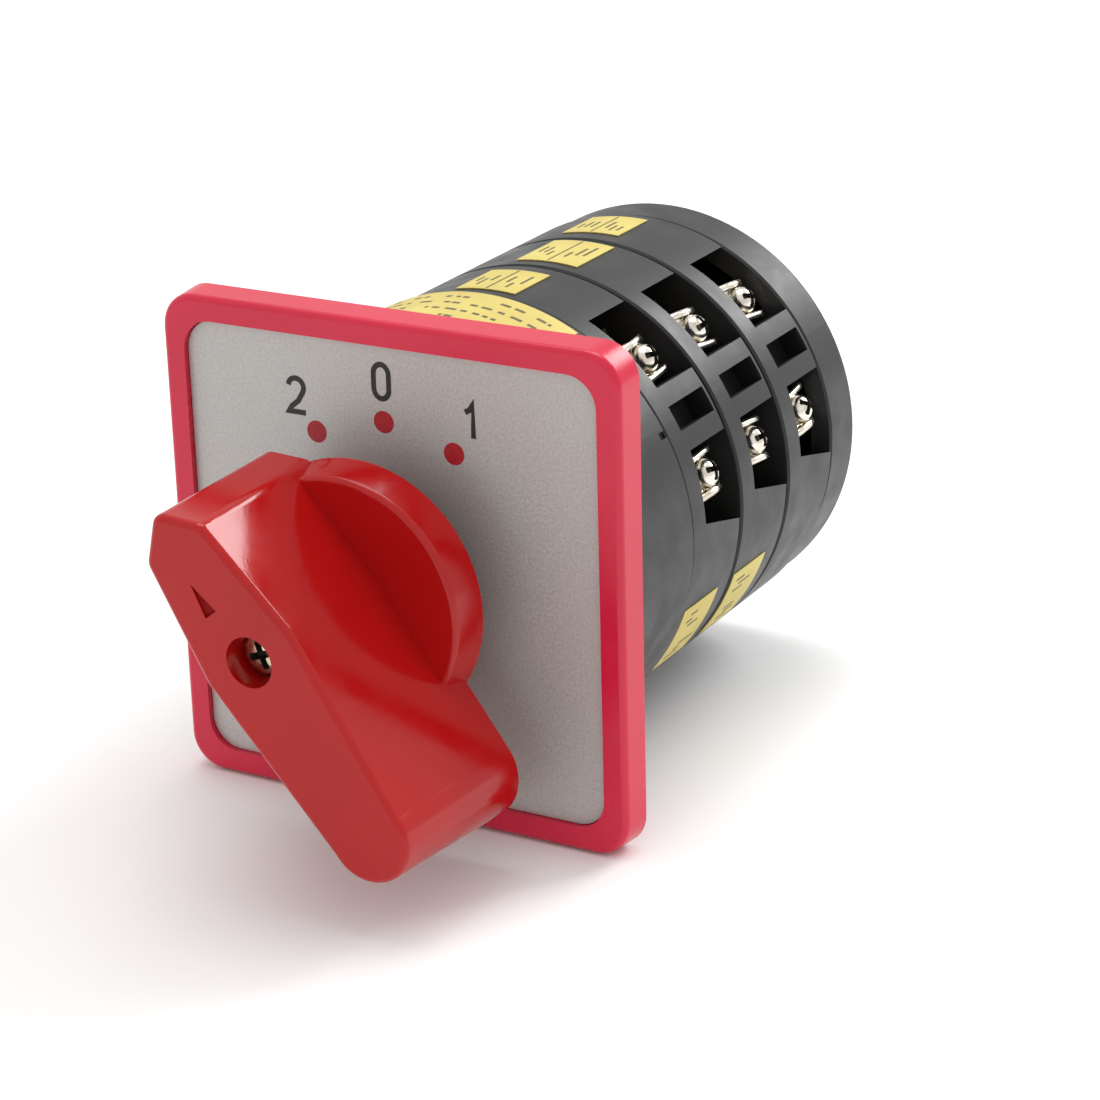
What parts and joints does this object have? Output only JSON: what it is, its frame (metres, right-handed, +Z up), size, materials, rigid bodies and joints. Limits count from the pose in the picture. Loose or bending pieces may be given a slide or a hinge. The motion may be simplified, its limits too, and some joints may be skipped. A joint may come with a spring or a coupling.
{
  "type": "rotary changeover switch",
  "caption": "Panel-mounted rotary cam changeover switch: square faceplate, pointer handle and stacked round contact stages with side terminals.",
  "frame": {"origin": "centre of the faceplate's back face, on the switch axis", "axes": "+Y along the switch axis towards the rear, -Y towards the handle, +Z up, +X to the right seen from the front"},
  "size_m": [0.064, 0.1043, 0.064],
  "materials": {
    "red_bezel": "satin gloss moulded",
    "red_handle": "gloss moulded",
    "legend_silver": "satin, fine grain",
    "black_plastic": "satin moulded",
    "white_plastic": "natural moulded",
    "plunger_plastic": "natural moulded",
    "yellow_label": "paper-faced sticker",
    "terminal_nickel": "nickel plated",
    "handle_screw_nickel": "yellowish plated",
    "zinc_steel": "zinc plated",
    "spring_steel": "drawn wire",
    "contact_brass": "stamped"
  },
  "bodies": {
    "drum": {"bezel_frame": "red_bezel", "legend_plate": "legend_silver", "bezel_screws": "zinc_steel", "shaft_collar": "black_plastic", "front_housing": "black_plastic", "detent_plungers": "white_plastic", "detent_springs": "spring_steel", "stage_housing_1": "black_plastic", "fixed_contacts_1": "contact_brass", "clamp_washers_1": "terminal_nickel", "terminal_screws_1": "terminal_nickel", "contact_spring_1a": "spring_steel", "contact_spring_1b": "spring_steel", "stage_housing_2": "black_plastic", "fixed_contacts_2": "contact_brass", "clamp_washers_2": "terminal_nickel", "terminal_screws_2": "terminal_nickel", "contact_spring_2a": "spring_steel", "contact_spring_2b": "spring_steel", "stage_housing_3": "black_plastic", "fixed_contacts_3": "contact_brass", "clamp_washers_3": "terminal_nickel", "terminal_screws_3": "terminal_nickel", "contact_spring_3a": "spring_steel", "contact_spring_3b": "spring_steel", "rear_cover": "black_plastic", "tie_bolts": "zinc_steel", "tie_nuts": "zinc_steel", "rating_label": "yellow_label", "stage_labels": "yellow_label"},
    "rotor": {"handle": "red_handle", "handle_screw": "handle_screw_nickel", "handle_washer": "zinc_steel", "shaft": "zinc_steel", "detent_star": "white_plastic", "cam_1": "white_plastic", "cam_2": "white_plastic", "cam_3": "white_plastic", "rear_bushing": "white_plastic", "retaining_clip": "spring_steel"},
    "contact_1a": {"plunger_1a": "plunger_plastic", "bridge_1a": "contact_brass"},
    "contact_1b": {"plunger_1b": "plunger_plastic", "bridge_1b": "contact_brass"},
    "contact_2a": {"plunger_2a": "plunger_plastic", "bridge_2a": "contact_brass"},
    "contact_2b": {"plunger_2b": "plunger_plastic", "bridge_2b": "contact_brass"},
    "contact_3a": {"plunger_3a": "plunger_plastic", "bridge_3a": "contact_brass"},
    "contact_3b": {"plunger_3b": "plunger_plastic", "bridge_3b": "contact_brass"}
  },
  "joints": [
    {"name": "handle_turn", "type": "hinge", "parent": "drum", "child": "rotor", "pos_m": [0, 0, 0], "axis": [0, 1, 0], "range_deg": [0, 74.4]},
    {"name": "contact_1a_slide", "type": "slide", "parent": "drum", "child": "contact_1a", "axis": [-0.515, 0, 0.8572], "range_m": [0, 0.0025], "deforming": ["contact_spring_1a"]},
    {"name": "contact_1b_slide", "type": "slide", "parent": "drum", "child": "contact_1b", "axis": [0.515, 0, -0.8572], "range_m": [-0.0025, 0], "deforming": ["contact_spring_1b"]},
    {"name": "contact_2a_slide", "type": "slide", "parent": "drum", "child": "contact_2a", "axis": [-0.515, 0, 0.8572], "range_m": [0, 0.0025], "deforming": ["contact_spring_2a"]},
    {"name": "contact_2b_slide", "type": "slide", "parent": "drum", "child": "contact_2b", "axis": [0.515, 0, -0.8572], "range_m": [-0.0025, 0], "deforming": ["contact_spring_2b"]},
    {"name": "contact_3a_slide", "type": "slide", "parent": "drum", "child": "contact_3a", "axis": [-0.515, 0, 0.8572], "range_m": [0, 0.0025], "deforming": ["contact_spring_3a"]},
    {"name": "contact_3b_slide", "type": "slide", "parent": "drum", "child": "contact_3b", "axis": [0.515, 0, -0.8572], "range_m": [-0.0025, 0], "deforming": ["contact_spring_3b"]}
  ],
  "couplings": [
    {"joint": "contact_1a_slide", "follows": "handle_turn", "m_per_rad": 0.0019253},
    {"joint": "contact_1b_slide", "follows": "handle_turn", "m_per_rad": -0.0019253},
    {"joint": "contact_2a_slide", "follows": "handle_turn", "m_per_rad": 0.0019253},
    {"joint": "contact_2b_slide", "follows": "handle_turn", "m_per_rad": -0.0019253},
    {"joint": "contact_3a_slide", "follows": "handle_turn", "m_per_rad": 0.0019253},
    {"joint": "contact_3b_slide", "follows": "handle_turn", "m_per_rad": -0.0019253}
  ]
}
